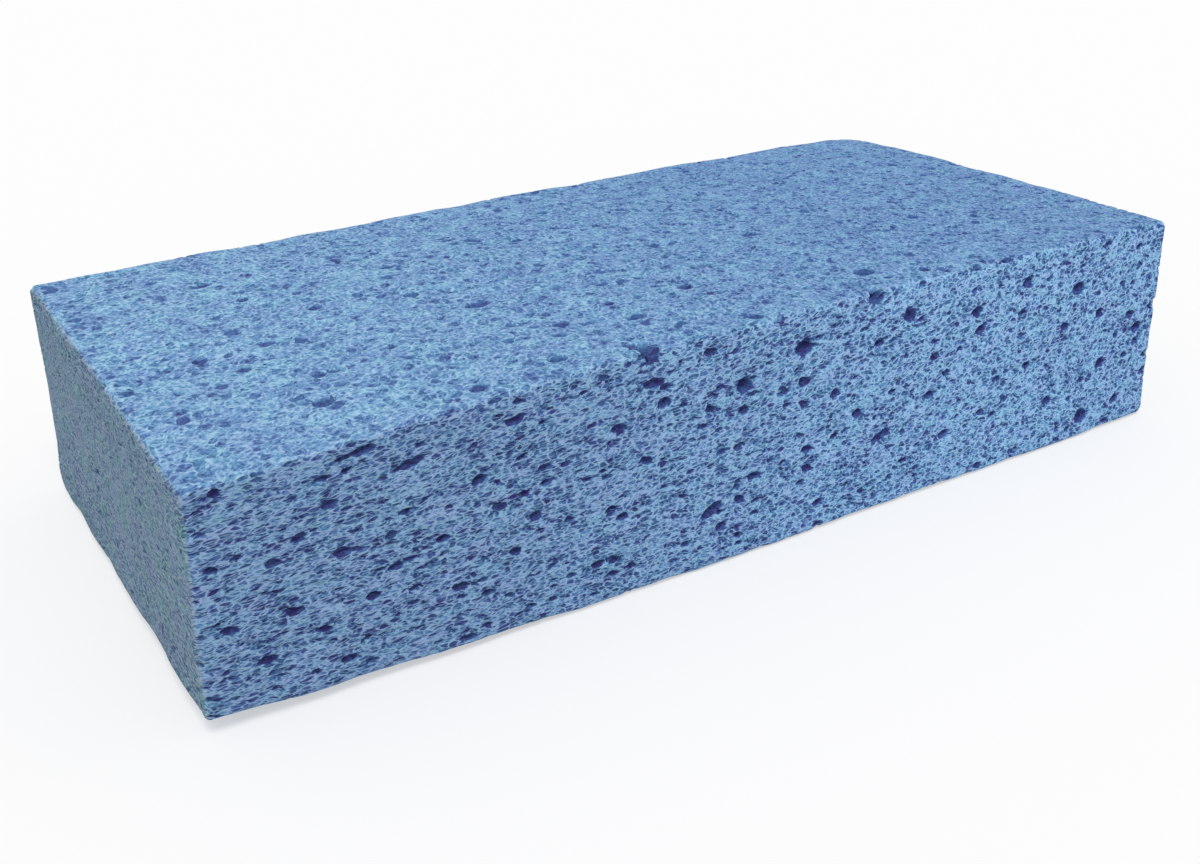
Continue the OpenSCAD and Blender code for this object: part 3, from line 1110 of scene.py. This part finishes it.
        # Painted shade in the small and wide pores, weaker on top and at the ends
        pit_shade = spot.small * self.small_pore_shade + spot.wide * self.wide_pore_shade
        pit_shade = pit_shade * (1.0 - spot.flat * self.flat_pit_shade_less - spot.end * self.end_pit_shade_less)
        streaks = (0.5 - hue) * spot.flat * self.streak_contrast
        base = self.base - spot.flat * self.flat_paler - spot.end * self.end_paler
        contrast = plain * (1.0 - spot.wide * self.wide_calm)
        return texture * contrast + pit_shade + streaks + (base - spot.edge * self.edge_wear)

    def shaded(self, sheet: Sheet, dark: Field) -> bpy.types.NodeSocket:
        """The foam's colour at a darkness.

        Args:
            sheet: The material's tree.
            dark: The darkness, from 0 to 1.

        Returns:
            The output that gives the colour.
        """
        node = sheet.add("ShaderNodeValToRGB")
        stops = node.color_ramp.elements
        for _ in self.shades[2:]:
            stops.new(0.5)
        for stop, (place, colour) in zip(stops, self.shades):
            stop.position = place
            stop.color = (*colour, 1.0)
        sheet.feed(node.inputs[0], dark)
        return node.outputs[0]


@dataclass
class Studio:
    """The floor, the light and the camera."""

    floor_size: float = 8.0
    floor_white: float = 0.9
    # How much of the floor that the camera sees is its own even glow
    floor_glow: float = 0.5
    sun_strength: float = 1.6
    # The sun's width in degrees, and the way that its light goes
    sun_width: float = 25.0
    sun_way: tuple[float, float, float] = (0.15, 0.42, -0.9)
    sky_strength: float = 0.62
    # The camera's place, the directions of its view and of the picture's right, its focal length in pixels
    place: tuple[float, float, float] = (-135.2, -218.4, 125.2)
    view: tuple[float, float, float] = (0.4633, 0.7764, -0.4272)
    right: tuple[float, float, float] = (0.8527, -0.5218, -0.0237)
    focal: float = 1382.7

    def floor(self) -> bpy.types.Object:
        """Lays a plain pale floor that takes the sponge's shadow.

        Returns:
            The floor.
        """
        half = self.floor_size / 2
        mesh = bpy.data.meshes.new("floor")
        corners = [(-half, -half, 0), (half, -half, 0), (half, half, 0), (-half, half, 0)]
        mesh.from_pydata(corners, [], [(0, 1, 2, 3)])
        floor = bpy.data.objects.new("floor", mesh)
        bpy.context.collection.objects.link(floor)
        material = bpy.data.materials.new("pale_floor")
        material.use_nodes = True
        sheet = Sheet(material.node_tree)
        shader = material.node_tree.nodes["Principled BSDF"]
        shader.inputs["Base Color"].default_value = (self.floor_white,) * 3 + (1.0,)
        shader.inputs["Roughness"].default_value = 1.0
        shader.inputs["Specular IOR Level"].default_value = 0.0
        glow = sheet.add("ShaderNodeEmission").outputs[0]
        seen = Field(sheet, sheet.add("ShaderNodeLightPath").outputs["Is Camera Ray"])
        blend = sheet.add("ShaderNodeMixShader", {0: seen * self.floor_glow, 1: shader.outputs[0], 2: glow})
        sheet.feed(material.node_tree.nodes["Material Output"].inputs["Surface"], blend.outputs[0])
        mesh.materials.append(material)
        return floor

    def light(self) -> None:
        """Sets an even sky and one wide soft sun from above and in front."""
        world = bpy.data.worlds.new("sky")
        world.use_nodes = True
        sky = world.node_tree.nodes["Background"]
        sky.inputs["Color"].default_value = (*WHITE, 1.0)
        sky.inputs["Strength"].default_value = self.sky_strength
        bpy.context.scene.world = world
        sun = bpy.data.lights.new("sun", "SUN")
        sun.energy = self.sun_strength
        sun.angle = math.radians(self.sun_width)
        lamp = bpy.data.objects.new("sun", sun)
        lamp.rotation_euler = Vector(self.sun_way).to_track_quat("-Z", "Y").to_euler()
        bpy.context.collection.objects.link(lamp)

    def camera(self) -> None:
        """Sets the camera where the photograph was taken from."""
        data = bpy.data.cameras.new("camera")
        camera = bpy.data.objects.new("camera", data)
        view, right = Vector(self.view).normalized(), Vector(self.right).normalized()
        up = right.cross(view)
        turn = Matrix((right, up, -view)).transposed().to_4x4()
        camera.matrix_world = Matrix.Translation(Vector(self.place) * MM) @ turn
        data.lens = data.sensor_width * self.focal / PHOTO_WIDTH
        data.clip_start = 0.01
        bpy.context.collection.objects.link(camera)
        bpy.context.scene.camera = camera

    def build(self) -> None:
        """Sets up everything round the sponge."""
        self.floor()
        self.light()
        self.camera()
        bpy.context.scene.view_settings.view_transform = "Standard"


def main() -> None:
    """Builds the sponge and the studio."""
    logging.basicConfig(level=logging.INFO, format="%(name)s: %(message)s")
    piece = Sponge(Block()).build(FoamFinish().material())
    log.info("%s: %d points, %d faces", piece.name, len(piece.data.vertices), len(piece.data.polygons))
    Studio().build()


if __name__ == "__main__":
    main()
